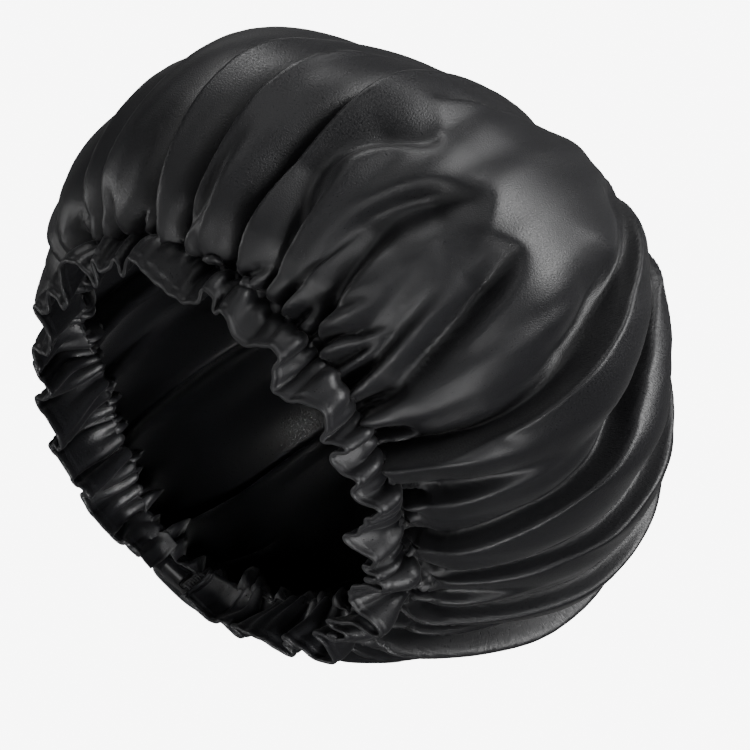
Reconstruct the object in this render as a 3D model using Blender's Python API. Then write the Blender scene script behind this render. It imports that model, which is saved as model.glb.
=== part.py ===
"""A satin sleep bonnet, held open and full as a head holds it.

The origin is the centre of the head opening. +Z points from the opening to the
top of the crown, +Y to the adjuster at the back. Lengths are in metres.
"""

from math import ceil, cos, hypot, pi, radians, sin

import bmesh
import bpy
from mathutils import Matrix, Vector

MM = 0.001

# The crown
CROWN_WALL = 1.2 * MM
LEAN_HEADING = radians(49)      # the crown leans this way, from +X towards +Y
GROOVE_SHARE = 0.45             # a groove is this much as deep as its ridge is high
FLANK_SHARE = 0.35

# Rows of the crown from the seam to the top: height, radius, lean, oval, share of the fold depth.
# Heights, radii and leans are in mm. The section is longer along Y than along X by the oval.
CROWN_SECTIONS = [
    (9.8, 91.0, 0.0, 0.043, 0.0),
    (12.0, 94.5, 0.0, 0.044, 0.35),
    (13.8, 103.5, 0.8, 0.045, 0.9),
    (19.6, 114.0, 2.4, 0.048, 1.0),
    (33.4, 125.5, 4.8, 0.055, 1.0),
    (53.0, 136.5, 8.0, 0.065, 0.9),
    (76.5, 143.5, 12.0, 0.075, 0.75),
    (101.0, 141.5, 15.2, 0.072, 0.55),
    (125.5, 132.0, 19.2, 0.068, 0.45),
    (147.5, 115.0, 22.4, 0.064, 0.35),
    (166.5, 91.5, 24.8, 0.06, 0.25),
    (179.0, 64.0, 26.4, 0.06, 0.12),
    (186.0, 34.0, 27.2, 0.06, 0.0),
]
CROWN_TOP = 188.5 * MM

# Rows of faces of the crown: one column kept out of so many, rows, where the last one ends from 0 to 1
CROWN_ROWS = [
    (1, 10, 0.62),
    (2, 4, 0.88),
    (4, 2, 1.0),
]

# Folds round the crown: angle at the seam, ridge height, drift of the angle up to the top (deg, mm, deg)
FOLDS = [
    (-168, 5.0, -10),
    (-158, 4.0, -12),
    (-148, 6.0, -14),
    (-138, 7.0, -15),
    (-127, 5.0, -16),
    (-118, 9.0, -18),
    (-109, 7.5, -12),
    (-100, 5.5, -9),
    (-91, 6.0, -5),
    (-80, 7.5, 0),
    (-70, 5.0, -3),
    (-60, 7.0, -8),
    (-50, 5.5, -10),
    (-40, 6.5, -12),
    (-29, 5.0, -12),
    (-18, 6.0, -8),
    (-7, 4.5, -4),
    (4, 6.0, 0),
    (14, 5.0, 3),
    (25, 6.5, 5),
    (36, 5.0, 7),
    (47, 6.0, 8),
    (58, 5.0, 8),
    (69, 6.5, 6),
    (80, 5.5, 3),
    (90, 4.5, 0),
    (100, 6.0, -2),
    (111, 5.0, -4),
    (122, 6.5, -6),
    (133, 5.0, -8),
    (144, 6.0, -10),
    (155, 5.0, -11),
    (166, 6.5, -10),
    (179, 4.5, -10),
]

# The casing round the opening
CASING_RUFFLES = 60
BACK_ANGLE = radians(90)        # where the adjuster is
ADJUSTER_SPAN = 34.0 * MM       # between the two ends of the casing

# Rows of the casing from the seam to the free edge: height, radius, half thickness, ruffle depth (mm)
CASING_SECTIONS = [
    (9.4, 90.4, 0.9, 0.0),
    (5.0, 91.8, 1.9, 1.2),
    (-2.0, 92.5, 2.2, 2.0),
    (-9.0, 92.5, 0.9, 3.2),
]
CASING_OVAL = 0.043

# The adjuster, laid out flat: x along the rim, y outwards, and its width along z
ADJUSTER_RADIUS = 97.0 * MM
STRAP_WIDTH = 9.0 * MM
STRAP_THICKNESS = 1.1 * MM
BUCKLE_LENGTH = 24.0 * MM
BUCKLE_WIDTH = 13.0 * MM
BUCKLE_THICKNESS = 2.2 * MM
BUCKLE_CAMBER = 1.1 * MM
END_BAR = 2.0 * MM
SLOT_LENGTH = 2.8 * MM
SLOT_WIDTH = 10.0 * MM

# Routes of the two elastics, x and y from the buckle's centre (mm)
STRAP_ROUTE = [
    (16.3, -1.5), (13.8, -2.8), (11.2, -3.4), (9.2, -2.7), (8.6, -0.6), (8.0, 1.5), (5.6, 2.4),
    (0.0, 2.5), (-4.6, 3.1), (-7.0, 5.3), (-4.8, 7.7), (1.0, 8.6), (8.0, 9.0), (14.0, 8.4), (18.0, 7.0),
]
TAB_ROUTE = [
    (-16.4, 0.0), (-14.0, 1.3), (-11.2, 1.8), (-9.2, 1.3), (-8.6, -0.7), (-9.2, -2.8), (-11.2, -3.4),
    (-14.0, -3.2), (-16.0, -2.7),
]


def clear_scene():
    for item in list(bpy.data.objects):
        bpy.data.objects.remove(item, do_unlink=True)


def material(name, colour, roughness):
    made = bpy.data.materials.new(name)
    made.use_nodes = True
    shader = made.node_tree.nodes["Principled BSDF"]
    shader.inputs["Base Color"].default_value = (*colour, 1.0)
    shader.inputs["Roughness"].default_value = roughness
    return made


def finish(name, mesh, look):
    """Turn a bmesh into a smooth-shaded object with one material."""
    bmesh.ops.recalc_face_normals(mesh, faces=mesh.faces)
    data = bpy.data.meshes.new(name)
    mesh.to_mesh(data)
    mesh.free()
    data.materials.append(look)
    data.shade_smooth()
    made = bpy.data.objects.new(name, data)
    bpy.context.collection.objects.link(made)
    return made


def blend(rows, along):
    """Catmull-Rom curve through the rows of a table, with along from 0 to 1."""
    place = along * (len(rows) - 1)
    start = min(int(place), len(rows) - 2)
    t = place - start
    last = len(rows) - 1
    before, first, second, after = (rows[max(0, min(last, start + k))] for k in (-1, 0, 1, 2))
    values = []
    for p0, p1, p2, p3 in zip(before, first, second, after):
        slope = p2 - p0
        bend = 2 * p0 - 5 * p1 + 4 * p2 - p3
        twist = 3 * p1 - p0 - 3 * p2 + p3
        values.append(0.5 * (2 * p1 + t * (slope + t * (bend + t * twist))))
    return values


def crown_columns():
    """Ridge, gentle flank, groove and steep flank of each fold: angle, drift, height."""
    columns = []
    for index, (angle, height, drift) in enumerate(FOLDS):
        following = FOLDS[(index + 1) % len(FOLDS)]
        reach = (following[0] - angle) % 360
        turn = following[2] - drift
        groove = -GROOVE_SHARE * 0.5 * (height + following[1])
        columns.append((angle, drift, height))
        columns.append((angle + 0.32 * reach, drift + 0.32 * turn, FLANK_SHARE * height))
        columns.append((angle + 0.62 * reach, drift + 0.62 * turn, groove))
        columns.append((angle + 0.81 * reach, drift + 0.81 * turn, FLANK_SHARE * groove))
    return columns


def crown_point(column, along):
    """Point on the crown's outer face, pushed in or out along the section's normal."""
    angle, drift, fold = column
    height, radius, lean, oval, share = blend(CROWN_SECTIONS, along)
    step = 0.01
    low = blend(CROWN_SECTIONS, max(0.0, along - step))
    high = blend(CROWN_SECTIONS, min(1.0, along + step))
    rise = high[0] - low[0]
    spread = high[1] - low[1]
    length = hypot(rise, spread)
    radius += fold * share * rise / length
    height -= fold * share * spread / length
    turn = radians(angle + drift * along)
    radius *= 1.0 - oval * cos(2 * turn)
    x = radius * cos(turn) + lean * cos(LEAN_HEADING)
    y = radius * sin(turn) + lean * sin(LEAN_HEADING)
    return Vector((x, y, height)) * MM


def join_rings(mesh, lower, upper):
    """Faces between two closed rings; the upper one may have half as many points."""
    count = len(lower)
    if len(upper) == count:
        for i in range(count):
            j = (i + 1) % count
            mesh.faces.new((lower[i], lower[j], upper[j], upper[i]))
        return
    for i in range(0, count, 2):
        middle = lower[i + 1]
        after = lower[(i + 2) % count]
        left = upper[i // 2]
        right = upper[(i // 2 + 1) % len(upper)]
        mesh.faces.new((lower[i], middle, left))
        mesh.faces.new((middle, right, left))
        mesh.faces.new((middle, after, right))


def build_crown(look):
    mesh = bmesh.new()
    columns = crown_columns()
    rows = [(columns, 0.0)]
    start = 0.0
    for keep, count, end in CROWN_ROWS:
        for row in range(1, count + 1):
            rows.append((columns[::keep], start + (end - start) * row / count))
        start = end
    below = None
    for shown, along in rows:
        ring = [mesh.verts.new(crown_point(column, along)) for column in shown]
        if below:
            join_rings(mesh, below, ring)
        below = ring
    lean = CROWN_SECTIONS[-1][2] * MM
    top = mesh.verts.new((lean * cos(LEAN_HEADING), lean * sin(LEAN_HEADING), CROWN_TOP))
    for i, vert in enumerate(below):
        mesh.faces.new((vert, below[(i + 1) % len(below)], top))
    crown = finish("crown", mesh, look)
    wall = crown.modifiers.new("wall", "SOLIDIFY")
    wall.thickness = CROWN_WALL
    wall.offset = -1.0
    return crown


def build_casing(look):
    """The gathered casing: a closed section swept round the opening, with plain ends."""
    mesh = bmesh.new()
    half_gap = 0.5 * ADJUSTER_SPAN / ADJUSTER_RADIUS
    sweep = 2 * pi - 2 * half_gap
    wave = (1.0, 0.1, -1.0)     # ridge, flank and groove of a ruffle
    steps = CASING_RUFFLES * len(wave)
    below = None
    for step in range(steps + 1):
        turn = BACK_ANGLE + half_gap + sweep * step / steps
        ruffle = wave[step % len(wave)]
        outer = []
        inner = []
        for height, radius, half, depth in CASING_SECTIONS:
            middle = radius * (1.0 - CASING_OVAL * cos(2 * turn)) + depth * ruffle
            outer.append(((middle + half) * cos(turn), (middle + half) * sin(turn), height))
            inner.append(((middle - half) * cos(turn), (middle - half) * sin(turn), height))
        section = [mesh.verts.new(Vector(point) * MM) for point in outer + inner[::-1]]
        if below:
            join_rings(mesh, below, section)
        else:
            mesh.faces.new(section)
        below = section
    mesh.faces.new(below)
    return finish("gathered_band", mesh, look)


def smooth_route(route, spacing):
    """Points along a route at about the given spacing, as vectors in the x-y plane."""
    count = ceil(sum(hypot(b[0] - a[0], b[1] - a[1]) for a, b in zip(route, route[1:])) / spacing)
    return [Vector((*blend(route, i / count), 0.0)) * MM for i in range(count + 1)]


def build_ribbon(name, route, width, look):
    """A flat elastic of one thickness, swept along its route."""
    mesh = bmesh.new()
    points = smooth_route(route, 1.7)
    below = None
    for index, point in enumerate(points):
        ahead = points[min(index + 1, len(points) - 1)]
        behind = points[max(index - 1, 0)]
        along = (ahead - behind).normalized()
        side = Vector((-along.y, along.x, 0.0)) * 0.5 * STRAP_THICKNESS
        up = Vector((0.0, 0.0, 0.5 * width))
        corners = (point + side + up, point + side - up, point - side - up, point - side + up)
        section = [mesh.verts.new(corner) for corner in corners]
        if below:
            join_rings(mesh, below, section)
        else:
            mesh.faces.new(section)
        below = section
    mesh.faces.new(below)
    made = finish(name, mesh, look)
    made.location = (0.0, ADJUSTER_RADIUS, 0.0)
    return made


def build_buckle(look):
    """The slide: a plate, rounded across its width, with a slot next to each end bar."""
    mesh = bmesh.new()
    end = 0.5 * BUCKLE_LENGTH
    slot_end = end - END_BAR
    slot_start = slot_end - SLOT_LENGTH
    edge = 0.5 * BUCKLE_WIDTH
    rail = 0.5 * SLOT_WIDTH
    across = (-end, -slot_end, -slot_start, 0.0, slot_start, slot_end, end)
    upward = (-edge, -rail, -0.5 * rail, 0.0, 0.5 * rail, rail, edge)
    grid = []
    for x in across:
        column = []
        for z in upward:
            camber = -BUCKLE_CAMBER * (1.0 - (z / edge) ** 2)
            column.append(mesh.verts.new((x, camber, z)))
        grid.append(column)
    for i in range(len(across) - 1):
        for j in range(len(upward) - 1):
            is_slot = i in (1, 4) and 0 < j < len(upward) - 2
            if not is_slot:
                mesh.faces.new((grid[i][j], grid[i + 1][j], grid[i + 1][j + 1], grid[i][j + 1]))
    buckle = finish("slide_buckle", mesh, look)
    plate = buckle.modifiers.new("plate", "SOLIDIFY")
    plate.thickness = BUCKLE_THICKNESS
    plate.offset = 0.0
    edges = buckle.modifiers.new("edges", "BEVEL")
    edges.width = 0.4 * MM
    edges.segments = 2
    edges.limit_method = "ANGLE"
    edges.angle_limit = radians(50)
    buckle.location = (0.0, ADJUSTER_RADIUS, 0.0)
    return buckle


def main():
    clear_scene()
    satin = material("black_satin", (0.012, 0.012, 0.014), 0.4)
    elastic = material("black_elastic", (0.015, 0.015, 0.016), 0.75)
    plastic = material("black_plastic", (0.01, 0.01, 0.011), 0.15)
    build_crown(satin)
    build_casing(satin)
    build_ribbon("elastic_strap", STRAP_ROUTE, STRAP_WIDTH, elastic)
    build_ribbon("strap_tab", TAB_ROUTE, STRAP_WIDTH, elastic)
    build_buckle(plastic)


main()
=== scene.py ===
"""The looks of a black satin sleep bonnet, laid out as a Blender add-on.

The frame gives the plain solids. Each operator below makes one piece in satin,
elastic or plastic over its solid, and the last one sets up the studio.
"""

from math import cos, degrees, exp, hypot, pi, radians, sin

import bmesh
import bpy
import numpy as np
from bpy.props import FloatProperty, FloatVectorProperty, IntProperty
from mathutils import Matrix, Vector, noise


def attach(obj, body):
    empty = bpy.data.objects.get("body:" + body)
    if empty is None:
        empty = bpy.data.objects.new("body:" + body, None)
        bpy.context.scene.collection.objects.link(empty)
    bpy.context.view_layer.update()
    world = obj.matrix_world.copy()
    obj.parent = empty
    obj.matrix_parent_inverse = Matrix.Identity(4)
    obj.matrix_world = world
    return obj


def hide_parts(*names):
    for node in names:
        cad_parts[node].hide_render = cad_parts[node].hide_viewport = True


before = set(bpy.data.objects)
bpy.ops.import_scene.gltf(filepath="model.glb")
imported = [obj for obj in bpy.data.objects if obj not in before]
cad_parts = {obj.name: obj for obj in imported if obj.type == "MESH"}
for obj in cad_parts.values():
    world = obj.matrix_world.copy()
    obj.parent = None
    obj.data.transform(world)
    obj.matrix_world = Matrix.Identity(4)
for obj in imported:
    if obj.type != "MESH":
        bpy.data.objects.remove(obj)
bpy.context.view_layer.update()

bl_info = {
    "name": "Satin sleep bonnet",
    "version": (1, 0, 0),
    "blender": (4, 5, 0),
    "location": "3D View > Sidebar > Bonnet",
    "description": "Makes a gathered satin sleep bonnet over its plain solids",
    "category": "Object",
}

MM = 0.001

# ---------------------------------------------------------------- sizes of the bonnet

LEAN_HEADING = radians(49)

# Rows of the crown from the seam to the top: height, radius, lean, oval.
# Heights, radii and leans are in mm. The section is longer along Y than along X by the oval.
# The first row laps over the top of the casing.
CROWN_SECTIONS = [
    (7.2, 91.8, 0.0, 0.043),
    (11.2, 93.8, 0.0, 0.044),
    (13.8, 103.5, 0.8, 0.045),
    (19.6, 114.0, 2.4, 0.048),
    (33.4, 125.5, 4.8, 0.055),
    (53.0, 136.5, 8.0, 0.065),
    (76.5, 143.5, 12.0, 0.075),
    (101.0, 141.5, 15.2, 0.072),
    (125.5, 132.0, 19.2, 0.068),
    (147.5, 115.0, 22.4, 0.064),
    (166.5, 91.5, 24.8, 0.06),
    (179.0, 64.0, 26.4, 0.06),
    (186.0, 34.0, 27.2, 0.06),
    (188.5, 0.0, 27.2, 0.06),
]

# Pleats of the crown. Each one rises steeply from a groove to its edge and falls gently to the next.
# Place of its start and its end up the crown (0 to 1), angle of its edge at the start, halfway and at the
# end (deg), height (mm), width before and after the edge (deg), lap over the groove (as a share of the
# width before it) and crispness (0 to 1)
PLEATS = [
    (0.00, 0.70, -171, -173, -176, 6.0, 2.6, 10.0, 1.0, 0.9),
    (0.00, 0.80, -160, -162, -170, 7.0, 2.4, 12.0, 1.1, 1.0),
    (0.00, 0.92, -145, -149, -164, 11.0, 2.2, 11.0, 1.2, 1.0),
    (0.00, 0.95, -137, -135.3, -146, 15.0, 2.2, 16.0, 1.2, 1.0),
    (0.00, 0.24, -129, -129, -132, 5.0, 2.4, 7.0, 1.0, 0.8),
    (0.00, 0.98, -114, -120.7, -111, 14.0, 2.0, 11.0, 1.2, 1.0),
    (0.00, 0.95, -105.5, -111, -96, 11.5, 2.0, 10.0, 1.2, 1.0),
    (0.00, 0.42, -104, -107, -110, 4.5, 2.4, 6.0, 0.6, 0.5),
    (0.00, 0.88, -94, -101, -94, 10.5, 2.2, 9.0, 1.1, 1.0),
    (0.50, 0.95, -96, -84, -60, 3.5, 2.0, 12.0, 0.8, 0.9),
    (0.00, 0.42, -88, -91, -96, 5.5, 2.6, 7.0, 0.8, 0.6),
    (0.00, 0.36, -83, -85, -87, 4.5, 2.4, 6.0, 0.8, 0.6),
    (0.00, 0.40, -72, -78, -84, 6.0, 3.0, 5.5, 0.5, 0.4),
    (0.00, 0.20, -70, -72, -74, 4.5, 2.2, 5.0, 1.0, 0.8),
    (0.00, 0.40, -62, -65, -72, 5.0, 3.5, 5.0, 0.3, 0.3),
    (0.00, 0.24, -55, -56, -58, 4.5, 2.4, 5.0, 0.8, 0.7),
    (0.00, 0.84, -46, -48, -80, 9.0, 2.4, 12.0, 1.0, 1.0),
    (0.00, 0.40, -41, -43, -40, 6.5, 3.2, 5.0, 0.5, 0.4),
    (0.00, 0.42, -29, -33, -36, 6.0, 3.2, 6.0, 0.6, 0.5),
    (0.00, 0.90, -17, -30, -72, 6.5, 2.6, 13.0, 1.0, 1.0),
    (0.00, 0.85, -6, -12, -34, 5.5, 2.8, 10.0, 1.0, 0.8),
    (0.00, 0.40, 2, 0, -3, 5.0, 2.4, 7.0, 0.9, 0.7),
    (0.00, 0.75, 11, 8, -6, 5.5, 2.8, 10.0, 1.0, 0.7),
    (0.00, 0.45, 21, 21, 18, 5.0, 2.6, 7.0, 0.9, 0.7),
    (0.00, 0.90, 30, 29, 20, 9.0, 2.6, 13.0, 1.1, 1.0),
    (0.00, 0.50, 43, 44, 44, 5.5, 2.8, 8.0, 0.9, 0.7),
    (0.00, 0.80, 54, 56, 52, 8.0, 2.6, 11.0, 1.1, 0.9),
    (0.00, 0.40, 64, 66, 67, 5.0, 2.6, 7.0, 0.9, 0.6),
    (0.00, 0.85, 74, 78, 76, 8.5, 2.6, 12.0, 1.1, 1.0),
    (0.00, 0.55, 88, 91, 93, 5.5, 2.8, 9.0, 0.9, 0.7),
    (0.00, 0.90, 99, 103, 104, 9.0, 2.4, 12.0, 1.1, 1.0),
    (0.00, 0.45, 111, 113, 114, 5.0, 2.6, 7.0, 0.9, 0.6),
    (0.00, 0.80, 121, 124, 128, 8.0, 2.6, 11.0, 1.1, 0.9),
    (0.00, 0.60, 133, 134, 138, 5.5, 2.8, 8.0, 0.9, 0.7),
    (0.00, 0.90, 143, 146, 156, 9.0, 2.4, 12.0, 1.1, 1.0),
    (0.00, 0.45, 155, 155, 154, 5.0, 2.6, 7.0, 0.9, 0.6),
    (0.00, 0.75, 165, 166, 172, 8.0, 2.8, 11.0, 1.0, 0.9),
    (0.00, 0.40, 176, 176, 175, 5.0, 2.6, 8.0, 0.9, 0.6),
]
GROOVE_SHARE = 0.85             # a pleat's groove is this much as deep as its edge is high
GROOVE_WIDTH = 0.22             # of the pleat's whole width
FALL_BEND = 1.15                # power of a crisp pleat's fall to the next: 1 is straight
PUFF = (0.06, 0.34)             # a crisp pleat swells this much over its fall, at the seam and at the top
FADE_SHARE = 0.4                # a pleat fades over this last part of its length
START_LENGTH = 0.08             # of the way up the crown, where a pleat rises that starts above the seam
SEAM_RISE = (0.4, 0.14)         # a pleat starts with this share of its height and is whole this far up
SHORT_PLEAT = 0.3               # a pleat that ends lower than this is whole from the seam on
SEAM_WIDTH = (0.55, 0.2)        # a pleat starts with this share of its width and is whole this far up
MEAN_SHARE = 0.8                # this much of the folds' mean height is taken off again
FOLDS_FROM = (-0.02, 0.05)      # places up the crown between which all folds rise from nothing
FOLDS_TO = (0.8, 0.98)          # and between which they fade towards the top

# Columns and rows of faces crowd together over the front, at the edges of the pleats and low down
FRONT = (-85.0, 60.0)           # deg, middle and half width
FRONT_CROWD = 1.0               # share of columns added there
EDGE_CROWD = 0.5                # share added for each mm of a pleat's height
EDGE_BAND = (-0.5, 1.3)         # deg, middle of the band from the edge, and half width
LEAST_PLEAT = 0.3               # mm; a lower pleat draws no columns
CROWD_SAMPLES = 2881            # places round the crown
ROW_CROWD = 0.2                 # rows are this much closer together at the seam

# An edge is rounded by looking a little to each side of it: angle aside (deg) and weight
EDGE_ROUNDING = [(-0.4, 0.1), (-0.2, 0.25), (0.0, 0.3), (0.2, 0.25), (0.4, 0.1)]

# Soft waves over the cloth: number round the crown, seed, drift up to the top (rad), depth (mm)
SOFT_WAVES = [
    (17, 1.0, 5.0, 1.2),
    (26, 2.0, -4.0, 1.0),
    (41, 3.0, 6.0, 0.7),
    (67, 4.0, -7.0, 0.4),
    (101, 5.0, 8.0, 0.2),
]
WAVE_FADE = 0.7                 # share of the waves' depth that is gone at the top

# Creases of the dome, where the cloth hangs loose. Each one is a groove that starts softly, is deepest
# towards its end and has one steep and one gentle wall. Angle and place up the crown at its start,
# halfway and at its end (deg, 0 to 1), depth, width of the steep and of the gentle wall (mm), and the
# side of the steep wall (1 towards larger angles)
CREASES = [
    (-90, 0.22, -98, 0.36, -91, 0.49, 11.0, 3.4, 13.0, 1),
    (-83, 0.20, -88, 0.35, -79, 0.47, 10.0, 3.6, 17.0, -1),
    (-59, 0.10, -64, 0.30, -72, 0.46, 11.0, 3.4, 12.0, 1),
    (-51, 0.32, -54, 0.46, -63, 0.60, 8.0, 4.0, 15.0, 1),
    (-29, 0.38, -37, 0.54, -50, 0.70, 7.0, 4.5, 14.0, 1),
]
CREASE_START = (0.45, 1.3)      # share of a crease's length over which it deepens, and the power of that
CREASE_END = (0.2, 0.7)         # and the same for its end
CREASE_BEND = 1.6               # power of its walls: 2 is a bell
CREASE_TIP = 3.0                # mm, softness of its two tips
CREASE_SAMPLES = 25
CROWN_LENGTH = 290.0            # mm, along the cloth from the seam to the top

# Soft swells and dents of the crown: angle, place up the crown, half width, half length, depth
# (deg, 0 to 1, deg, 0 to 1, mm; a dent is negative)
SWELLS = [
    (-78, 0.78, 24, 0.16, 1.0),
    (-104, 0.66, 20, 0.16, -8.5),
    (-40, 0.65, 22, 0.16, -3.0),
    (-127, 0.60, 22, 0.17, -8.0),
    (-137, 0.42, 12, 0.12, -4.5),
    (-172, 0.25, 10, 0.10, 2.0),
    (-60, 0.62, 40, 0.20, 1.5),
    (-122, 0.60, 12, 0.12, -3.0),
    (-39, 0.20, 4, 0.06, -5.0),
    (-20, 0.64, 16, 0.18, -3.0),
    (15, 0.30, 25, 0.20, -4.0),
    (33, 0.40, 20, 0.18, -4.5),
    (75, 0.55, 14, 0.15, -2.0),
    (120, 0.5, 12, 0.14, -2.0),
    (165, 0.55, 12, 0.15, -2.0),
]

# Small gathers between the pleats, close to the seam
SEAM_GATHERS = 80
GATHER_HEIGHT = 5.0             # mm
GATHER_WIDTHS = (1.4, 3.0)      # deg before and after the edge
GATHER_REACH = (0.08, 0.28)     # of the way up the crown
GATHER_FORM = (0.6, 0.8)        # lap and crispness, as in the table of pleats

# What makes the gathers uneven: how much, and the size and the seed of the noise
GATHER_STRAY = (2.4, 9.0, 3.0)          # deg, from its even place
GATHER_REACHES = (0.5, 11.0, 13.0)      # of the range of its reach
GATHER_HEIGHTS = (0.6, 13.0, 23.0)      # of its height
GATHER_DRIFT = (3.0, 7.0, 33.0)         # deg, at its upper end

CUT_RADIUS = 0.29               # m, of the round that the crown is cut from
CASING_CUT = 1.0                # m, length of the strip that the casing is cut from

# Where the seam strays from a level ring: angle, half width (deg), rise and shift outwards (mm)
SEAM_STRAYS = [
    (-143, 24, 6.0, 0.0),
    (145, 34, 8.0, -7.0),
    (45, 26, 7.0, -4.0),
    (92, 14, -7.5, -2.0),
    (5, 24, 3.0, 7.0),
]
STRAY_REACH = 0.25              # of the way up the crown

# The casing round the opening, from one side of the adjuster to the other
BACK_ANGLE = radians(90)
CASING_GAPS = (4.0, 13.5)       # mm, from the slide's middle to the casing's two ends
ADJUSTER_RADIUS = 97.0 * MM
CASING_OVAL = 0.043
WIDE_RUFFLES = 29
FINE_RUFFLES = 96
HEM_DEPTH = 2.2                 # mm, from the free edge to its row of stitches
HEM_PRESS = (0.5, 0.4)          # share of the thickness pressed flat by the stitches, and their width (mm)
END_PRESS = (0.4, 0.5)          # the same for the stitches at the casing's two ends
EDGE_ROUND = 1.0                # mm, over which the seam and the free edge are rounded
END_ROUND = 0.8                 # mm, the same for the two ends
HEM_CROWD = 1.35                # power that brings the rows of faces closer together by the hem
MOUTH_LENGTH = 8.0              # mm, of the casing's ends, where the elastic goes in
MOUTH_SWELL = 1.3               # the ends are this much thicker
MOUTH_SHIFT = -2.4              # mm outwards
SMOOTH_END = 20.0               # mm, of cloth without ruffles at each end
FLAP_FROM = (11.0, 14.5)        # mm from the slide's middle, where the mouth narrows into a flap
FLAP_SHIFT = -6.2               # mm outwards: the flap lies inside the slide
FLAP_THICKNESS = 1.0

# Where the free edge leans and hangs lower: angle, half width (deg), lean outwards (negative is inwards)
# and drop (mm)
EDGE_FLARES = [
    (132, 28, -3.0, 4.0),
    (180, 25, -4.0, 0.0),
    (75, 24, -2.0, 1.0),
]

# Where the ruffles are flatter or deeper: angle, half width (deg), share added
RUFFLE_DEPTHS = [
    (-100, 55, -0.45),
    (125, 30, 0.4),
    (-165, 26, -0.35),
    (20, 30, 0.1),
]

# Waves that make the ruffles uneven: size, seed, and the slowest and fastest wave round the bonnet
UNEVEN_DEPTH = (0.4, 2.0, 9, 23)        # of all ruffles
UNEVEN_FINE = (0.6, 3.0, 11, 31)        # of the fine ones
WIDE_STRAY = (0.7, 5.0, 7, 19)          # in ruffles
FINE_STRAY = (0.7, 11.0, 11, 29)
WIDE_TWIST = (3.5, 7.0, 5, 17)          # rad, from the seam to the free edge
FINE_TWIST = (4.5, 9.0, 7, 23)
RUFFLE_LEAN = (0.9, 4.0, 7, 19)         # rad, at the free edge
EDGE_WAVE = (2.0, 13.0, 7, 27)          # mm, up and down at the free edge
EDGE_TILT = 0.3                         # the free edge rises this much for each mm outwards

# Rows of the casing from the seam to the free edge: height, radius, half thickness (mm),
# and how far the cloth turns aside in its wide ruffles and in its fine ones (rad)
CASING_SECTIONS = [
    (9.6, 90.8, 0.9, 0.2, 0.8),
    (6.5, 93.0, 1.4, 0.6, 0.9),
    (1.5, 94.5, 1.5, 1.0, 0.7),
    (-4.0, 93.5, 1.1, 1.3, 0.5),
    (-9.4, 91.6, 0.8, 1.45, 0.4),
]

# The adjuster, laid out flat: x along the rim, y outwards, and its width along z (mm)
STRAP_WIDTH = 9.0
STRAP_THICKNESS = 1.1
STRAP_RIBS = 7
RIB_HEIGHT = 0.22
STEPS_A_RIB = 6
STATIONS_A_LEG = 12             # along the strap, from one point of its route to the next
SLIDE_THICKNESS = 2.2
SLIDE_CAMBER = 2.2
SLIDE_ROUNDING = 0.5
SLIDE_ACROSS = (-12.0, -10.0, -7.2, 0.0, 7.2, 10.0, 12.0)
SLIDE_UPWARD = (-6.5, -5.0, -2.5, 0.0, 2.5, 5.0, 6.5)

# Routes of the two elastics, x and y from the slide's centre (mm)
STRAP_ROUTE = [
    (16.3, -1.5), (13.8, -2.8), (11.2, -3.4), (9.2, -2.7), (8.6, -0.6), (8.0, 1.5), (5.6, 2.4),
    (0.0, 2.5), (-4.6, 3.1), (-7.0, 5.3), (-4.8, 7.7), (1.0, 8.6), (8.0, 9.0), (14.0, 8.4), (18.0, 7.0),
]
TAB_ROUTE = [
    (-16.4, 0.0), (-14.0, 1.3), (-11.2, 1.8), (-9.2, 1.3), (-8.6, -0.7), (-9.2, -2.8), (-11.2, -3.4),
    (-14.0, -3.2), (-16.0, -2.7),
]


def clamp(value, low=0.0, high=1.0):
    return max(low, min(high, value))


def smooth_step(low, high, value):
    t = clamp((value - low) / (high - low))
    return t * t * (3 - 2 * t)


def blend(rows, along):
    """Catmull-Rom curve through the rows of a table, with along from 0 to 1."""
    place = along * (len(rows) - 1)
    start = min(int(place), len(rows) - 2)
    t = place - start
    last = len(rows) - 1
    before, first, second, after = (rows[max(0, min(last, start + k))] for k in (-1, 0, 1, 2))
    values = []
    for p0, p1, p2, p3 in zip(before, first, second, after):
        slope = p2 - p0
        bend = 2 * p0 - 5 * p1 + 4 * p2 - p3
        twist = 3 * p1 - p0 - 3 * p2 + p3
        values.append(0.5 * (2 * p1 + t * (slope + t * (bend + t * twist))))
    return values


def ripple(turn, much, size, seed):
    """Smooth noise round the bonnet, the same on every run, from -much to much."""
    return much * 2.0 * noise.noise(Vector((cos(turn) * size, sin(turn) * size, seed)))


def wander(turn, seed, slowest=3, fastest=9):
    """A wave round the bonnet that doesn't look like one, from about -1 to 1."""
    waves = [np.sin(k * turn + seed * k * k) for k in range(slowest, fastest)]
    return sum(waves) / (0.5 * len(waves))


def uneven(turn, wave):
    """One of the waves that make the ruffles uneven."""
    return wave[0] * wander(turn, *wave[1:])


def bell(offset, width):
    return np.exp(-((offset / width) ** 2))


def seam_stray(around):
    """Rise and shift outwards of the seam (mm)."""
    rise = 0.0
    shift = 0.0
    for angle, half_width, high, out in SEAM_STRAYS:
        share = bell(away_from(around, angle), half_width)
        rise = rise + high * share
        shift = shift + out * share
    return rise, shift


# ---------------------------------------------------------------- materials


def node(tree, kind, **sockets):
    made = tree.nodes.new(kind)
    for name, value in sockets.items():
        made.inputs[name.replace("_", " ")].default_value = value
    return made


YARN_STRETCH = 0.7              # yarns are this much finer along the cut than across it
GRAIN_RANGE = (0.3, 0.7)        # where most of the grain's height lies
ROUGHNESS_SPREAD = 0.16
GRAIN_DEPTH = 0.0003            # m
CLOTH_SHEEN_SPREAD = 0.35
SATIN_YARNS = 1900.0            # to the metre
ELASTIC_YARNS = 2200.0


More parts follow.
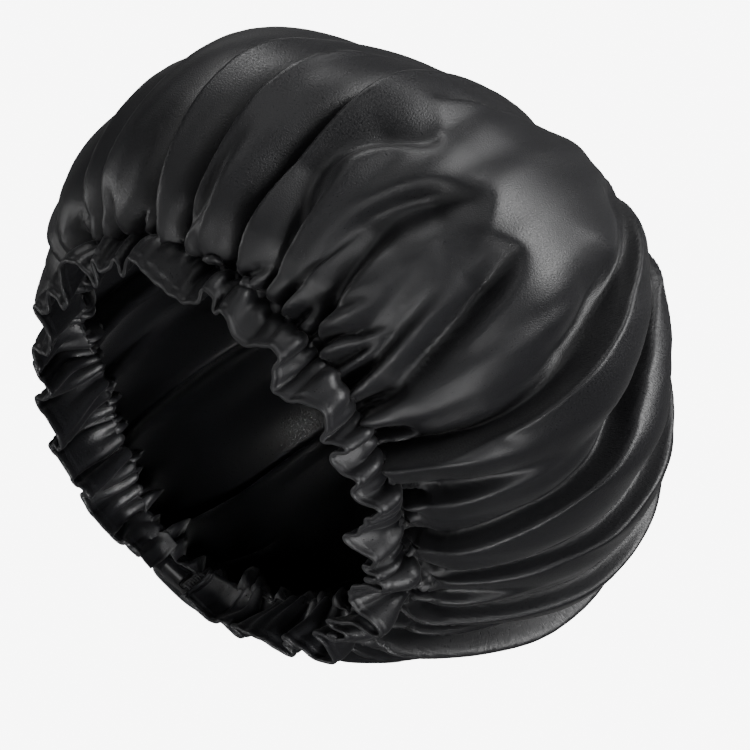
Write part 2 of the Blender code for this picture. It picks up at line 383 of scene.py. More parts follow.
def cloth_grain_group():
    """Fine satin yarns with a slight slub, as a height, and a tone that drifts over the cloth."""
    found = bpy.data.node_groups.get("Cloth grain")
    if found:
        return found
    group = bpy.data.node_groups.new("Cloth grain", "ShaderNodeTree")
    face = group.interface
    face.new_socket("Vector", in_out="INPUT", socket_type="NodeSocketVector")
    face.new_socket("Yarns per metre", in_out="INPUT", socket_type="NodeSocketFloat")
    face.new_socket("Height", in_out="OUTPUT", socket_type="NodeSocketFloat")
    face.new_socket("Tone", in_out="OUTPUT", socket_type="NodeSocketFloat")
    start = group.nodes.new("NodeGroupInput")
    end = group.nodes.new("NodeGroupOutput")
    yarn = node(group, "ShaderNodeTexNoise", Scale=1.0, Detail=2.0, Roughness=0.6)
    stretch = node(group, "ShaderNodeVectorMath")
    stretch.operation = "MULTIPLY"
    group.links.new(start.outputs["Vector"], stretch.inputs[0])
    lengths = node(group, "ShaderNodeCombineXYZ")
    shorter = node(group, "ShaderNodeMath")
    shorter.operation = "MULTIPLY"
    shorter.inputs[1].default_value = YARN_STRETCH
    group.links.new(start.outputs["Yarns per metre"], shorter.inputs[0])
    group.links.new(start.outputs["Yarns per metre"], lengths.inputs["X"])
    group.links.new(shorter.outputs[0], lengths.inputs["Y"])
    group.links.new(start.outputs["Yarns per metre"], lengths.inputs["Z"])
    group.links.new(lengths.outputs[0], stretch.inputs[1])
    group.links.new(stretch.outputs[0], yarn.inputs["Vector"])
    drift = node(group, "ShaderNodeTexNoise", Scale=14.0, Detail=3.0, Roughness=0.55)
    group.links.new(start.outputs["Vector"], drift.inputs["Vector"])
    group.links.new(yarn.outputs["Fac"], end.inputs["Height"])
    group.links.new(drift.outputs["Fac"], end.inputs["Tone"])
    return group


def cloth_material(name, colour, lighter, roughness, yarns, bump):
    """A dark woven cloth: its grain goes to the bump and the roughness, its drift to the colour."""
    made = bpy.data.materials.new(name)
    made.use_nodes = True
    tree = made.node_tree
    shader = tree.nodes["Principled BSDF"]
    place = tree.nodes.new("ShaderNodeTexCoord")
    grain = tree.nodes.new("ShaderNodeGroup")
    grain.node_tree = cloth_grain_group()
    grain.inputs["Yarns per metre"].default_value = yarns
    tree.links.new(place.outputs["UV"], grain.inputs["Vector"])
    tint = tree.nodes.new("ShaderNodeMix")
    tint.data_type = "RGBA"
    tint.inputs["A"].default_value = (*colour, 1.0)
    tint.inputs["B"].default_value = (*lighter, 1.0)
    tree.links.new(grain.outputs["Tone"], tint.inputs["Factor"])
    tree.links.new(tint.outputs["Result"], shader.inputs["Base Color"])
    rough = node(tree, "ShaderNodeMapRange")
    rough.inputs["From Min"].default_value, rough.inputs["From Max"].default_value = GRAIN_RANGE
    rough.inputs["To Min"].default_value = roughness - ROUGHNESS_SPREAD
    rough.inputs["To Max"].default_value = roughness + ROUGHNESS_SPREAD
    tree.links.new(grain.outputs["Height"], rough.inputs["Value"])
    tree.links.new(rough.outputs["Result"], shader.inputs["Roughness"])
    dent = node(tree, "ShaderNodeBump", Strength=bump, Distance=GRAIN_DEPTH)
    tree.links.new(grain.outputs["Height"], dent.inputs["Height"])
    tree.links.new(dent.outputs["Normal"], shader.inputs["Normal"])
    return made, shader


def satin():
    found = bpy.data.materials.get("black satin")
    if found:
        return found
    look = bpy.context.scene.bonnet_satin
    made, shader = cloth_material(
        "black satin", look.colour, look.lighter, look.roughness, SATIN_YARNS, look.grain
    )
    shader.inputs["Sheen Weight"].default_value = look.sheen
    shader.inputs["Sheen Roughness"].default_value = CLOTH_SHEEN_SPREAD
    return made


def elastic():
    found = bpy.data.materials.get("black elastic")
    if found:
        return found
    made, shader = cloth_material(
        "black elastic", colour=(0.01, 0.01, 0.011), lighter=(0.018, 0.018, 0.02), roughness=0.6,
        yarns=ELASTIC_YARNS, bump=0.6,
    )
    shader.inputs["Sheen Weight"].default_value = 0.1
    return made


def plastic():
    found = bpy.data.materials.get("black plastic")
    if found:
        return found
    made = bpy.data.materials.new("black plastic")
    made.use_nodes = True
    tree = made.node_tree
    shader = tree.nodes["Principled BSDF"]
    shader.inputs["Base Color"].default_value = (0.008, 0.008, 0.009, 1.0)
    shader.inputs["Coat Weight"].default_value = 0.3
    place = tree.nodes.new("ShaderNodeTexCoord")
    wear = node(tree, "ShaderNodeTexNoise", Scale=900.0, Detail=4.0)
    tree.links.new(place.outputs["Object"], wear.inputs["Vector"])
    rough = node(tree, "ShaderNodeMapRange")
    rough.inputs["To Min"].default_value = 0.14
    rough.inputs["To Max"].default_value = 0.26
    tree.links.new(wear.outputs["Fac"], rough.inputs["Value"])
    tree.links.new(rough.outputs["Result"], shader.inputs["Roughness"])
    return made


# ---------------------------------------------------------------- making meshes


def finish(name, mesh, look):
    """Make a bmesh into a smooth piece that rides with the bonnet."""
    data = bpy.data.meshes.new(name)
    mesh.to_mesh(data)
    mesh.free()
    data.materials.append(look)
    data.shade_smooth()
    made = bpy.data.objects.new(name, data)
    bpy.context.collection.objects.link(made)
    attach(made, "root")
    return made


def grid(columns, rows):
    """A flat grid with its corner at the origin and unit cells, and its columns of vertices."""
    mesh = bmesh.new()
    middle = Matrix.Translation((0.5 * columns, 0.5 * rows, 0.0))
    size = Matrix.Diagonal((columns, rows, 1.0, 1.0))
    bmesh.ops.create_grid(mesh, x_segments=columns, y_segments=rows, size=0.5, matrix=middle @ size)
    return mesh


def unwrap(mesh, place):
    """Store the place of each vertex on the flat cut, in metres, as the piece's UV map."""
    layer = mesh.loops.layers.uv.new("cut")
    for face in mesh.faces:
        for loop in face.loops:
            loop[layer].uv = place[loop.vert]


def crown_rows():
    """The pleats of the table, and the small gathers with a size and a reach that vary."""
    rows = list(PLEATS)
    low, high = GATHER_REACH
    for k in range(SEAM_GATHERS):
        turn = 2 * pi * k / SEAM_GATHERS
        angle = degrees(turn) + ripple(turn, *GATHER_STRAY)
        reach = low + (high - low) * (0.5 + ripple(turn, *GATHER_REACHES))
        height = GATHER_HEIGHT * (1.0 + ripple(turn, *GATHER_HEIGHTS))
        last = angle + ripple(turn, *GATHER_DRIFT)
        rows.append((0.0, reach, angle, angle, last, height, *GATHER_WIDTHS, *GATHER_FORM))
    return rows


def edge_angle(pleat, along):
    """Angle of a pleat's edge, on a smooth curve through its three angles."""
    start, end, first, middle, last = pleat[:5]
    t = clamp((along - start) / (end - start))
    return first * (1 - t) * (1 - 2 * t) + middle * 4 * t * (1 - t) + last * t * (2 * t - 1)


def from_seam(first, reach, along):
    """A share that starts as given at the seam and is whole at its reach."""
    return first + (1.0 - first) * smooth_step(0.0, reach, along)


def pleat_share(pleat, along):
    """How much of a pleat's height is there, from 0 to 1."""
    start, end = pleat[:2]
    share = 1.0 - smooth_step(end - FADE_SHARE * (end - start), end, along)
    if start > 0:
        return share * smooth_step(start, start + START_LENGTH, along)
    if end > SHORT_PLEAT:
        share *= from_seam(*SEAM_RISE, along)
    return share


def away_from(around, angle):
    """Angles around the bonnet seen from one of them, from -180 to 180 degrees."""
    return (around - angle + 180.0) % 360.0 - 180.0


def crown_columns(rows, along, count):
    """Angles of the columns of one row, which crowd together at the front and at the pleats' edges."""
    fine = np.linspace(-180.0, 180.0, CROWD_SAMPLES)
    crowd = 1.0 + FRONT_CROWD * bell(away_from(fine, FRONT[0]), FRONT[1])
    for pleat in rows:
        height = pleat_share(pleat, along) * pleat[5]
        if height > LEAST_PLEAT:
            middle = edge_angle(pleat, along) + EDGE_BAND[0]
            crowd += EDGE_CROWD * height * bell(away_from(fine, middle), EDGE_BAND[1])
    filled = np.concatenate(([0.0], np.cumsum(0.5 * (crowd[1:] + crowd[:-1]))))
    return np.interp(np.linspace(0.0, filled[-1], count + 1), filled, fine)


def pleat_shape(pleat, away, width, puff):
    """Height of a pleat, as a share, and its slide round the crown (deg) at angles away from its edge."""
    before, after, lap, crisp = pleat[6:]
    after = after * width
    rise = np.clip(1.0 + away / before, 0.0, 1.0)
    rise = crisp * rise * rise + (1 - crisp) * rise * rise * (3 - 2 * rise)
    groove = -GROOVE_SHARE * np.exp(np.minimum(away + before, 0.0) / (GROOVE_WIDTH * (before + after)))
    fall = np.clip(1.0 - away / after, 0.0, 1.0)
    swell = (1 - crisp) * np.sin(0.5 * pi * fall) + crisp * (fall ** FALL_BEND + puff * np.sin(pi * fall))
    height = np.where(away < 0, groove + (1.0 + GROOVE_SHARE) * rise, swell)
    slide = -lap * before * rise * np.where(away < 0, 1.0, fall * fall)
    return height, slide


def from_crease(crease, t, around, along, scale):
    """How far columns lie from a crease at t, round and up the crown, and the slopes of its line (mm)."""
    weights = (1 - t) * (1 - 2 * t), 4 * t * (1 - t), t * (2 * t - 1)
    slopes = 4 * t - 3, 4 - 8 * t, 4 * t - 1
    angle, place = (sum(w * crease[2 * k + part] for k, w in enumerate(weights)) for part in (0, 1))
    round_it, up_it = (sum(w * crease[2 * k + part] for k, w in enumerate(slopes)) for part in (0, 1))
    x = away_from(around, angle) * scale
    y = (along - place) * CROWN_LENGTH
    return x, y, round_it * scale, up_it * CROWN_LENGTH


def crease_height(crease, around, along):
    """Height of one crease over the crown (mm), for one row of columns.

    Each column finds the nearest of a few points of the crease, and then slides along it until it is square
    to its line.
    """
    depth, steep, gentle, side = crease[6:]
    scale = radians(blend(CROWN_SECTIONS, along)[1])
    t = np.linspace(0.0, 1.0, CREASE_SAMPLES)[:, None]
    x, y, _, _ = from_crease(crease, t, around[None, :], along, scale)
    t = t[np.argmin(x * x + y * y, axis=0), 0]
    for _ in range(2):
        x, y, slope_x, slope_y = from_crease(crease, t, around, along, scale)
        t = np.clip(t + (x * slope_x + y * slope_y) / (slope_x * slope_x + slope_y * slope_y), 0.0, 1.0)
    x, y, slope_x, slope_y = from_crease(crease, t, around, along, scale)
    length = np.hypot(slope_x, slope_y)
    aside = (x * slope_y - y * slope_x) / length * side
    beyond = (x * slope_x + y * slope_y) / length
    groove = np.exp(-np.abs(aside / np.where(aside > 0, steep, gentle)) ** CREASE_BEND)
    share = np.clip(t / CREASE_START[0], 0.0, 1.0) ** CREASE_START[1]
    share *= np.clip((1.0 - t) / CREASE_END[0], 0.0, 1.0) ** CREASE_END[1]
    return -depth * share * groove * bell(beyond, CREASE_TIP)


def fold_crown(rows, around, along):
    """Height of the folds over the crown (mm) and slide round it (deg), for one row of columns."""
    height = np.zeros_like(around)
    slide = np.zeros_like(around)
    width = from_seam(*SEAM_WIDTH, along)
    puff = PUFF[0] + (PUFF[1] - PUFF[0]) * along
    for pleat in rows:
        share = pleat_share(pleat, along)
        if share <= 0:
            continue
        away = away_from(around, edge_angle(pleat, along))
        for aside, weight in EDGE_ROUNDING:
            high, slid = pleat_shape(pleat, away + aside, width, puff)
            height += weight * share * pleat[5] * high
            slide += weight * share * slid
    height -= MEAN_SHARE * height.mean()
    for angle, place, half_width, half_length, depth in SWELLS:
        height += depth * bell(away_from(around, angle), half_width) * bell(along - place, half_length)
    for crease in CREASES:
        height += crease_height(crease, around, along)
    turn = np.radians(around)
    for count, seed, drift, depth in SOFT_WAVES:
        wave = np.sin(count * turn + seed + drift * along) * wander(turn, seed)
        height += depth * (1.0 - WAVE_FADE * along) * wave
    return height, slide


def crown_base(around, along):
    """Points on the plain crown, in mm, for one row of columns."""
    height, radius, lean, oval = blend(CROWN_SECTIONS, along)
    rise, shift = seam_stray(around)
    near = 1.0 - smooth_step(0.0, STRAY_REACH, along)
    turn = np.radians(around)
    out = radius * (1.0 - oval * np.cos(2 * turn)) + near * shift
    x = out * np.cos(turn) + lean * cos(LEAN_HEADING)
    y = out * np.sin(turn) + lean * sin(LEAN_HEADING)
    return np.stack([x, y, height + near * rise], axis=1)


def crown_row(rows, along, count):
    """Points of one row of the crown, in metres, and the angles of its columns."""
    around = crown_columns(rows, along, count)
    high, slide = fold_crown(rows, around, along)
    share = smooth_step(*FOLDS_FROM, along) * (1.0 - smooth_step(*FOLDS_TO, along))
    place = around + share * slide
    base = crown_base(place, along)
    aside, step = 0.1, 0.004
    round_it = crown_base(place + aside, along) - crown_base(place - aside, along)
    up_it = crown_base(place, min(1.0, along + step)) - crown_base(place, max(0.0, along - step))
    out = np.cross(round_it, up_it)
    out /= np.linalg.norm(out, axis=1, keepdims=True) + 1e-12
    return (base + out * (share * high)[:, None]) * MM, around


def row_place(share):
    """Place up the crown of a share of its rows: they are closer together low down."""
    return share * (1.0 - ROW_CROWD + ROW_CROWD * share * share)


def make_crown(columns, rows, wall):
    pleats = crown_rows()
    mesh = grid(columns, rows)
    points = []
    angles = []
    for row in range(rows + 1):
        along = row_place(row / rows)
        place, around = crown_row(pleats, along, columns)
        points.append(place)
        angles.append(np.radians(around))
    cut = {}
    for vert in mesh.verts:
        column = round(vert.co.x)
        row = round(vert.co.y)
        vert.co = points[row][column]
        out = CUT_RADIUS * (1.0 - row_place(row / rows))
        turn = angles[row][column]
        cut[vert] = (out * cos(turn), out * sin(turn))
    unwrap(mesh, cut)
    bmesh.ops.remove_doubles(mesh, verts=mesh.verts, dist=1e-6)
    bmesh.ops.recalc_face_normals(mesh, faces=mesh.faces)
    crown = finish("crown_cloth", mesh, satin())
    thick = crown.modifiers.new("wall", "SOLIDIFY")
    thick.thickness = wall
    thick.offset = -1.0
    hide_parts("crown")
    return crown


def level_out(values, window):
    """Take the slow drift off a curve: each value less the mean of its neighbours."""
    padded = np.pad(values, window, mode="reflect", reflect_type="odd")
    total = np.concatenate(([0.0], np.cumsum(padded)))
    mean = (total[2 * window + 1:] - total[:-2 * window - 1]) / (2 * window + 1)
    return values - mean[:len(values)]


def casing_ends(turn):
    """How far each column is from the nearer end (mm), and how much of it is mouth and flap."""
    first = (turn - BACK_ANGLE) * ADJUSTER_RADIUS / MM
    second = (BACK_ANGLE + 2 * pi - turn) * ADJUSTER_RADIUS / MM
    near_end = np.minimum(first - CASING_GAPS[0], second - CASING_GAPS[1])
    mouth = bell(np.maximum(np.minimum(first, second) - CASING_GAPS[1], 0.0), MOUTH_LENGTH)
    share = np.clip((first - FLAP_FROM[0]) / (FLAP_FROM[1] - FLAP_FROM[0]), 0.0, 1.0)
    return near_end, mouth, 1.0 - share * share * (3 - 2 * share)


def casing_middle(turn, sweep, along):
    """Points on the middle surface of the casing (mm), for one row of columns.

    The cloth meanders: it turns aside by the wide and the fine ruffles, and its path is their sum.
    """
    height, radius, _, wide, fine = blend(CASING_SECTIONS, along)
    around = np.degrees(turn)
    rise, shift = seam_stray(around)
    share = (turn - turn[0]) / sweep
    depth = 1.0 + uneven(turn, UNEVEN_DEPTH)
    for angle, half_width, added in RUFFLE_DEPTHS:
        depth += added * bell(away_from(around, angle), half_width)
    wide_phase = 2 * pi * (WIDE_RUFFLES * share + uneven(turn, WIDE_STRAY))
    wide_phase += along * uneven(turn, WIDE_TWIST)
    fine_phase = 2 * pi * (FINE_RUFFLES * share + uneven(turn, FINE_STRAY))
    fine_phase += along * uneven(turn, FINE_TWIST)
    lean = along * uneven(turn, RUFFLE_LEAN)
    aside = wide * depth * np.sin(wide_phase + lean * np.sin(wide_phase))
    aside += fine * depth * (1.0 + uneven(turn, UNEVEN_FINE)) * np.sin(fine_phase)
    piece = CASING_CUT / MM / (len(turn) - 1)
    window = len(turn) // WIDE_RUFFLES
    out = level_out(np.cumsum(np.sin(aside)) * piece, window)
    round_it = level_out(np.cumsum(np.cos(aside)) * piece, window)
    near_end, mouth, flap = casing_ends(turn)
    tight = np.clip(near_end / SMOOTH_END, 0.0, 1.0) ** 2
    out = out * tight + MOUTH_SHIFT * mouth * (1.0 - flap) + FLAP_SHIFT * flap
    for angle, half_width, lean_out, drop in EDGE_FLARES:
        flare = along * along * bell(away_from(around, angle), half_width)
        out = out + lean_out * flare
        height = height - drop * flare
    radius = radius * (1.0 - CASING_OVAL * np.cos(2 * turn)) + (1.0 - along) * shift + out
    height = height + (1.0 - along) * rise + along * (uneven(turn, EDGE_WAVE) + EDGE_TILT * out)
    place = turn + tight * round_it / radius
    return np.stack([radius * np.cos(place), radius * np.sin(place), height], axis=1)


def casing_half(turn, along):
    """Half of the casing's thickness (mm): rounded at its seam and free edge, thin along the stitches."""
    half = blend(CASING_SECTIONS, along)[2]
    tall = CASING_SECTIONS[0][0] - CASING_SECTIONS[-1][0]
    edge = tall * (1.0 - along)
    half *= 1.0 - HEM_PRESS[0] * exp(-(((edge - HEM_DEPTH) / HEM_PRESS[1]) ** 2))
    round_edge = clamp(edge / EDGE_ROUND) * clamp((tall - edge) / EDGE_ROUND)
    near_end, mouth, flap = casing_ends(turn)
    hem = 1.0 - END_PRESS[0] * bell(near_end - HEM_DEPTH, END_PRESS[1])
    swell = (1.0 + MOUTH_SWELL * round_edge * mouth) * half * (1.0 - flap) + 0.5 * FLAP_THICKNESS * flap
    closed = np.sqrt(np.clip(near_end / END_ROUND, 0.0, 1.0))
    return swell * (round_edge * (2 - round_edge)) ** 0.5 * hem * closed


def casing_rows(rows):
    """Places from the seam to the free edge, closer together by the hem."""
    return [1.0 - (1.0 - k / rows) ** HEM_CROWD for k in range(rows + 1)]


def make_casing(columns, rows):
    """The gathered casing: a long grid rolled into a flat tube and swept round the opening."""
    first, second = (gap * MM / ADJUSTER_RADIUS for gap in CASING_GAPS)
    sweep = 2 * pi - first - second
    turn = BACK_ANGLE + first + np.linspace(0.0, sweep, columns + 1)
    places = casing_rows(rows)
    middle = np.stack([casing_middle(turn, sweep, along) for along in places])
    thick = np.stack([casing_half(turn, along) for along in places])
    out = np.cross(np.gradient(middle, axis=1), np.gradient(middle, axis=0))
    out /= np.linalg.norm(out, axis=2, keepdims=True)
    outer = (middle - out * thick[..., None]) * MM
    inner = (middle + out * thick[..., None]) * MM
    mesh = grid(columns, 2 * rows)
    cut = {}
    for vert in mesh.verts:
        column = round(vert.co.x)
        row = round(vert.co.y)
        vert.co = outer[row][column] if row <= rows else inner[2 * rows - row][column]
        cut[vert] = (CASING_CUT * column / columns, MM * row)
    unwrap(mesh, cut)
    bmesh.ops.remove_doubles(mesh, verts=mesh.verts, dist=1e-6)
    bmesh.ops.recalc_face_normals(mesh, faces=mesh.faces)
    casing = finish("casing_cloth", mesh, satin())
    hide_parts("gathered_band")
    return casing


def make_ribbon(name, route, node_name):
    """A ribbed elastic swept along its route, standing on its edge."""
    stations = STATIONS_A_LEG * (len(route) - 1)
    across = STEPS_A_RIB * STRAP_RIBS
    mesh = grid(stations, 2 * across + 2)
    half = 0.5 * STRAP_THICKNESS
    near = 0.01
    cut = {}
    for vert in mesh.verts:
        station = round(vert.co.x)
        step = round(vert.co.y)
        share = station / stations
        x, y = blend(route, share)
        x_low, y_low = blend(route, clamp(share - near))
        x_high, y_high = blend(route, clamp(share + near))
        length = hypot(x_high - x_low, y_high - y_low)
        front = step <= across
        part = step / across if front else (2 * across + 1 - step) / across
        if step == 2 * across + 2:  # the last row meets the first
            part = 0.0
            front = True
        rib = RIB_HEIGHT * abs(sin(pi * STRAP_RIBS * part))
        out = (half - RIB_HEIGHT + rib) * (1 if front else -1)
        x += out * (y_low - y_high) / length
        y += out * (x_high - x_low) / length
        vert.co = Vector((x, y, STRAP_WIDTH * (part - 0.5))) * MM
        vert.co.y += ADJUSTER_RADIUS
        cut[vert] = (MM * station, MM * step)
    unwrap(mesh, cut)
    bmesh.ops.remove_doubles(mesh, verts=mesh.verts, dist=1e-6)
    bmesh.ops.holes_fill(mesh, edges=[edge for edge in mesh.edges if edge.is_boundary])
    bmesh.ops.recalc_face_normals(mesh, faces=mesh.faces)
    ribbon = finish(name, mesh, elastic())
    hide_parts(node_name)
    return ribbon


def make_slide():
    """The slide: a cambered plate with two slots, rounded all over."""
    mesh = grid(6, 6)
    slots = []
    for face in mesh.faces:
        middle = face.calc_center_median()
        if int(middle.x) in (1, 4) and 1 <= int(middle.y) <= 4:
            slots.append(face)
    bmesh.ops.delete(mesh, geom=slots, context="FACES")
    for vert in mesh.verts:
        x = SLIDE_ACROSS[round(vert.co.x)]
        z = SLIDE_UPWARD[round(vert.co.y)]
        camber = -SLIDE_CAMBER * (1.0 - (z / SLIDE_UPWARD[-1]) ** 2)
        vert.co = Vector((x, camber, z)) * MM
        vert.co.y += ADJUSTER_RADIUS
    bmesh.ops.recalc_face_normals(mesh, faces=mesh.faces)
    slide = finish("slide", mesh, plastic())
    plate = slide.modifiers.new("plate", "SOLIDIFY")
    plate.thickness = SLIDE_THICKNESS * MM
    plate.offset = 0.0
    edges = slide.modifiers.new("edges", "BEVEL")
    edges.width = SLIDE_ROUNDING * MM
    edges.segments = 2
    edges.limit_method = "ANGLE"
    edges.angle_limit = radians(50)
    curve = slide.modifiers.new("curve", "SUBSURF")
    curve.levels = 2
    curve.render_levels = 2
    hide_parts("slide_buckle")
    return slide


# ---------------------------------------------------------------- stage

# The photo's view: what it looks at, how far that is off the middle of the picture (mm to the left and
# upwards), and the camera's right and back
VIEW_TARGET = Vector((0.0, 0.0, 90.0)) * MM
VIEW_SHIFT = (5.1, 20.9)
VIEW_RIGHT = Vector((0.7314, -0.2047, 0.6505)).normalized()
VIEW_BACK = Vector((0.2248, -0.8282, -0.5134)).normalized()
SENSOR_WIDTH = 36.0             # mm

# What two of the lights are aimed at
CASING_SIDE = Vector((-50.0, 80.0, 0.0)) * MM
FAR_WALL = Vector((-30.0, 95.0, 45.0)) * MM

# Lights: name, heading (right, up and back in the camera's own axes), distance and side (m), power (W),
# spread of the beam (deg) and what it is aimed at
LIGHTS = [
    ("right softbox", (0.95, 0.35, 0.4), 1.2, 0.8, 18.0, 180, VIEW_TARGET),
    ("upper right softbox", (0.7, 0.7, 0.1), 1.2, 0.7, 4.0, 180, VIEW_TARGET),
    ("top softbox", (0.0, 1.0, 0.1), 1.2, 0.5, 5.0, 180, VIEW_TARGET),
    ("left softbox", (-1.0, 0.15, 0.1), 1.2, 0.4, 4.5, 180, VIEW_TARGET),
    ("front top softbox", (-0.05, 0.6, 0.8), 1.2, 0.4, 1.2, 180, VIEW_TARGET),
    ("low softbox", (0.0, -0.8, 0.5), 1.2, 0.5, 2.0, 180, VIEW_TARGET),
    ("inner lamp", (0.1, -0.15, 1.0), 0.7, 0.1, 0.016, 10, FAR_WALL),
    ("casing lamp", (0.35, -0.6, 0.7), 0.7, 0.3, 0.22, 22, CASING_SIDE),
]
FLOOR_SIDE = 12.0               # m
FLOOR_GLOW = 3.0


def view_axes():
    """The camera's right, up and back."""
    right = (VIEW_RIGHT - VIEW_RIGHT.dot(VIEW_BACK) * VIEW_BACK).normalized()
    return right, VIEW_BACK.cross(right), VIEW_BACK


def make_camera(distance, lens):
    right, up, back = view_axes()
    data = bpy.data.cameras.new("camera")
    data.lens = lens
    data.sensor_width = SENSOR_WIDTH
    camera = bpy.data.objects.new("camera", data)
    bpy.context.collection.objects.link(camera)
    aim = VIEW_TARGET + right * VIEW_SHIFT[0] * MM - up * VIEW_SHIFT[1] * MM
    turn = Matrix((right, up, back)).transposed().to_4x4()
    camera.matrix_world = Matrix.Translation(aim + back * distance) @ turn
    bpy.context.scene.camera = camera


def make_light(name, heading, distance, side, power, spread, aim):
    """A square lamp as in the table, facing what it is aimed at."""
    right, up, back = view_axes()
    data = bpy.data.lights.new(name, "AREA")
    data.size = side
    data.energy = power
    data.spread = radians(spread)
    light = bpy.data.objects.new(name, data)
    bpy.context.collection.objects.link(light)
    away = (right * heading[0] + up * heading[1] + back * heading[2]).normalized()
    light.location = aim + away * distance
    light.rotation_euler = away.to_track_quat("Z", "Y").to_euler()


def make_world(strength, reflected):
    """A white background with two strengths: one as seen, and one that falls on the satin."""
    world = bpy.data.worlds.new("studio")
    bpy.context.scene.world = world
    world.use_nodes = True
    tree = world.node_tree
    seen = tree.nodes["Background"]
    seen.inputs["Color"].default_value = (1.0, 1.0, 1.0, 1.0)
    seen.inputs["Strength"].default_value = strength
    dim = node(tree, "ShaderNodeBackground", Strength=reflected)
    rays = tree.nodes.new("ShaderNodeLightPath")
    mix = tree.nodes.new("ShaderNodeMixShader")
    tree.links.new(rays.outputs["Is Camera Ray"], mix.inputs["Fac"])
    tree.links.new(dim.outputs[0], mix.inputs[1])
    tree.links.new(seen.outputs[0], mix.inputs[2])
    tree.links.new(mix.outputs[0], tree.nodes["World Output"].inputs["Surface"])


def make_floor(height):
    """A pale floor, with a glow that only the camera sees."""
    mesh = bmesh.new()
    level = Matrix.Translation((0, 0, height))
    bmesh.ops.create_grid(mesh, x_segments=1, y_segments=1, size=0.5 * FLOOR_SIDE, matrix=level)
    data = bpy.data.meshes.new("floor")
    mesh.to_mesh(data)
    mesh.free()
    look = bpy.data.materials.new("pale floor")
    look.use_nodes = True
    shader = look.node_tree.nodes["Principled BSDF"]
    shader.inputs["Base Color"].default_value = (0.85, 0.85, 0.85, 1.0)
    shader.inputs["Roughness"].default_value = 0.9
    rays = look.node_tree.nodes.new("ShaderNodeLightPath")
    glow = node(look.node_tree, "ShaderNodeMath")
    glow.operation = "MULTIPLY"
    glow.inputs[1].default_value = FLOOR_GLOW
    look.node_tree.links.new(rays.outputs["Is Camera Ray"], glow.inputs[0])
    look.node_tree.links.new(glow.outputs[0], shader.inputs["Emission Strength"])
    data.materials.append(look)
    floor = bpy.data.objects.new("floor", data)
    bpy.context.collection.objects.link(floor)


# ---------------------------------------------------------------- add-on


class BonnetSatin(bpy.types.PropertyGroup):
    """Colour and shine of the satin"""
    colour: FloatVectorProperty(
        name="Colour", description="Colour of the satin", subtype="COLOR", size=3,
        default=(0.006, 0.006, 0.007),
    )
    lighter: FloatVectorProperty(
        name="Lighter colour", description="Colour where the dye is thinner", subtype="COLOR", size=3,
        default=(0.012, 0.012, 0.014),
    )
    roughness: FloatProperty(
        name="Roughness", description="Spread of the shine", default=0.42, min=0.2, max=0.8
    )
    sheen: FloatProperty(
        name="Sheen", description="Light caught at grazing angles", default=0.1, min=0, max=1
    )
    grain: FloatProperty(
        name="Grain", description="Strength of the weave's bump", default=0.5, min=0, max=1
    )


class BonnetSizes(bpy.types.PropertyGroup):
    """Fineness and thickness of the cloth"""
    wall: FloatProperty(
        name="Wall", description="Thickness of the crown's cloth", default=0.9 * MM,
        subtype="DISTANCE", unit="LENGTH",
    )
    crown_columns: IntProperty(
        name="Crown columns", description="Columns of faces round the crown", default=420, min=3
    )
    crown_rows: IntProperty(
        name="Crown rows", description="Rows of faces from the seam to the top", default=114, min=2
    )
    casing_columns: IntProperty(
        name="Casing columns", description="Columns of faces round the casing", default=1800, min=100
    )
    casing_rows: IntProperty(
        name="Casing rows", description="Rows of faces on each side of the casing", default=24, min=2
    )


class BonnetStudio(bpy.types.PropertyGroup):
    """Camera, floor and background"""
    distance: FloatProperty(
        name="Distance", description="From the camera to the bonnet", default=1.4,
        subtype="DISTANCE", unit="LENGTH",
    )
    lens: FloatProperty(name="Lens", description="Focal length in millimetres", default=165.3)
    floor: FloatProperty(
        name="Floor", description="Height of the floor", default=-0.95, subtype="DISTANCE", unit="LENGTH"
    )
    background: FloatProperty(
        name="Background", description="Brightness of the background as it is seen", default=8.0
    )
    fill: FloatProperty(
        name="Fill", description="Brightness of the background as it falls on the bonnet", default=0.05
    )


class BONNET_OT_crown(bpy.types.Operator):
    """Make the satin crown with its folds"""
    bl_idname = "bonnet.crown"
    bl_label = "Crown"

    def execute(self, context):
        sizes = context.scene.bonnet_sizes
        make_crown(sizes.crown_columns, sizes.crown_rows, sizes.wall)
        return {"FINISHED"}


class BONNET_OT_casing(bpy.types.Operator):
    """Make the gathered casing round the opening"""
    bl_idname = "bonnet.casing"
    bl_label = "Casing"

    def execute(self, context):
        sizes = context.scene.bonnet_sizes
        make_casing(sizes.casing_columns, sizes.casing_rows)
        return {"FINISHED"}


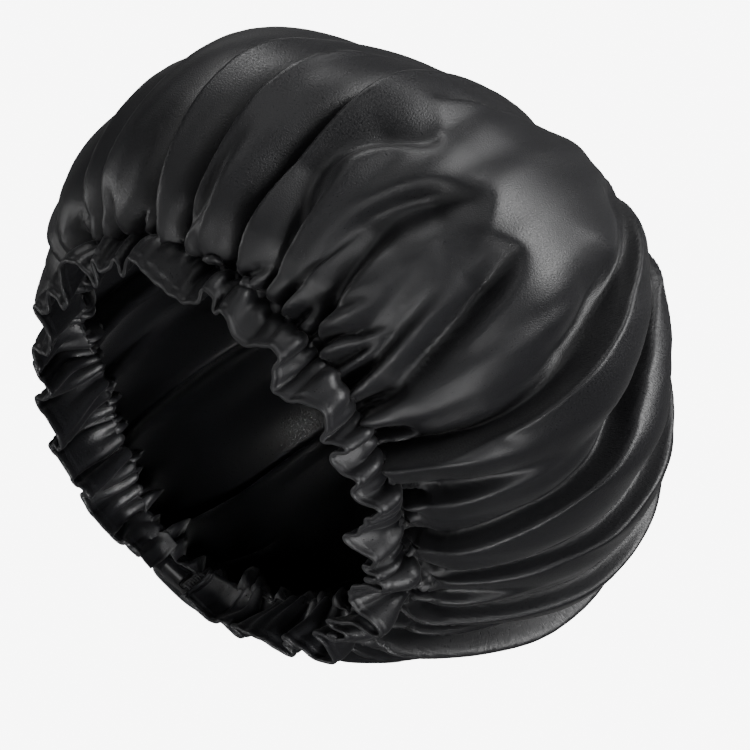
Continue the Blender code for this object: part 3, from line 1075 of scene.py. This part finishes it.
class BONNET_OT_adjuster(bpy.types.Operator):
    """Give the elastics and the slide their finish"""
    bl_idname = "bonnet.adjuster"
    bl_label = "Adjuster"

    def execute(self, context):
        make_ribbon("ribbed_strap", STRAP_ROUTE, "elastic_strap")
        make_ribbon("ribbed_tab", TAB_ROUTE, "strap_tab")
        make_slide()
        return {"FINISHED"}


class BONNET_OT_stage(bpy.types.Operator):
    """Set up the floor, the lights, the background and the camera"""
    bl_idname = "bonnet.stage"
    bl_label = "Stage"

    def execute(self, context):
        studio = context.scene.bonnet_studio
        make_camera(studio.distance, studio.lens)
        make_floor(studio.floor)
        make_world(studio.background, studio.fill)
        for light in LIGHTS:
            make_light(*light)
        return {"FINISHED"}


class BONNET_PT_panel(bpy.types.Panel):
    """Buttons and sizes of the bonnet"""
    bl_idname = "BONNET_PT_panel"
    bl_label = "Sleep bonnet"
    bl_space_type = "VIEW_3D"
    bl_region_type = "UI"
    bl_category = "Bonnet"

    def draw(self, context):
        for name in ("bonnet.crown", "bonnet.casing", "bonnet.adjuster", "bonnet.stage"):
            self.layout.operator(name)
        for group in (context.scene.bonnet_satin, context.scene.bonnet_sizes, context.scene.bonnet_studio):
            box = self.layout.box()
            for name in group.__annotations__:
                box.prop(group, name)


CLASSES = (
    BonnetSatin, BonnetSizes, BonnetStudio, BONNET_OT_crown, BONNET_OT_casing, BONNET_OT_adjuster,
    BONNET_OT_stage, BONNET_PT_panel,
)


def register():
    for item in CLASSES:
        bpy.utils.register_class(item)
    bpy.types.Scene.bonnet_satin = bpy.props.PointerProperty(type=BonnetSatin)
    bpy.types.Scene.bonnet_sizes = bpy.props.PointerProperty(type=BonnetSizes)
    bpy.types.Scene.bonnet_studio = bpy.props.PointerProperty(type=BonnetStudio)


def unregister():
    del bpy.types.Scene.bonnet_studio
    del bpy.types.Scene.bonnet_sizes
    del bpy.types.Scene.bonnet_satin
    for item in reversed(CLASSES):
        bpy.utils.unregister_class(item)


def main():
    register()
    bpy.ops.bonnet.stage()
    bpy.ops.bonnet.crown()
    bpy.ops.bonnet.casing()
    bpy.ops.bonnet.adjuster()


if __name__ == "__main__":
    main()
